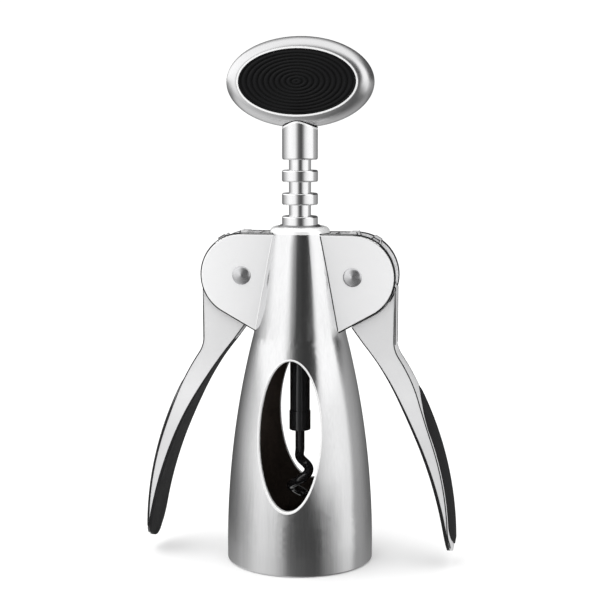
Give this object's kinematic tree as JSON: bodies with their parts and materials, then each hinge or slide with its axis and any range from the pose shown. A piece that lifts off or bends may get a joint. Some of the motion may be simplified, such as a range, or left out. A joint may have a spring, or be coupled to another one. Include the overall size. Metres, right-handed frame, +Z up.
{
  "type": "wing corkscrew",
  "caption": "Wing corkscrew with geared side levers, oval turning knob, round rack, windowed bell and open worm.",
  "frame": {"origin": "centre of the bell's rim, on the surface the corkscrew stands on", "axes": "+Z up along the spindle, the levers in the XZ plane, the front window towards -Y"},
  "size_m": [0.1082, 0.05, 0.1778],
  "materials": {
    "satin_casting": "satin",
    "polished_chrome": "polished",
    "rivet_steel": "satin",
    "black_coating": "gloss",
    "black_rubber": "matte",
    "dark_plastic": "matte"
  },
  "bodies": {
    "frame": {"bell_frame": "satin_casting", "bottle_guide": "dark_plastic", "pivot_pin_right": "rivet_steel", "pivot_pin_left": "rivet_steel"},
    "bush": {"neck_bush": "rivet_steel"},
    "spindle": {"spindle_rack": "polished_chrome", "spindle_tail": "black_coating", "worm_ferrule": "black_coating", "worm": "black_coating", "knob_collar": "polished_chrome", "knob": "satin_casting", "knob_pin": "rivet_steel", "knob_insert_front": "black_rubber", "knob_insert_rear": "black_rubber"},
    "right_lever": {"lever_right": "satin_casting", "outer_grip_right": "black_rubber", "inner_grip_right": "black_rubber"},
    "left_lever": {"lever_left": "satin_casting", "outer_grip_left": "black_rubber", "inner_grip_left": "black_rubber"}
  },
  "joints": [
    {"name": "lever_right_swing", "type": "hinge", "parent": "frame", "child": "right_lever", "pos_m": [0.0189, 0, 0.0982], "axis": [0, -1, 0], "range_deg": [0, 118]},
    {"name": "lever_left_swing", "type": "hinge", "parent": "frame", "child": "left_lever", "pos_m": [-0.0189, 0, 0.0982], "axis": [0, 1, 0], "range_deg": [0, 118]},
    {"name": "spindle_turn", "type": "hinge", "parent": "frame", "child": "bush", "pos_m": [0, 0, 0.112], "axis": [0, 0, -1], "continuous": true},
    {"name": "spindle_slide", "type": "slide", "parent": "bush", "child": "spindle", "axis": [0, 0, -1], "range_m": [0, 0.02883]}
  ],
  "couplings": [
    {"joint": "lever_left_swing", "follows": "lever_right_swing", "ratio": 1},
    {"joint": "spindle_slide", "follows": "lever_right_swing", "m_per_rad": 0.014}
  ]
}
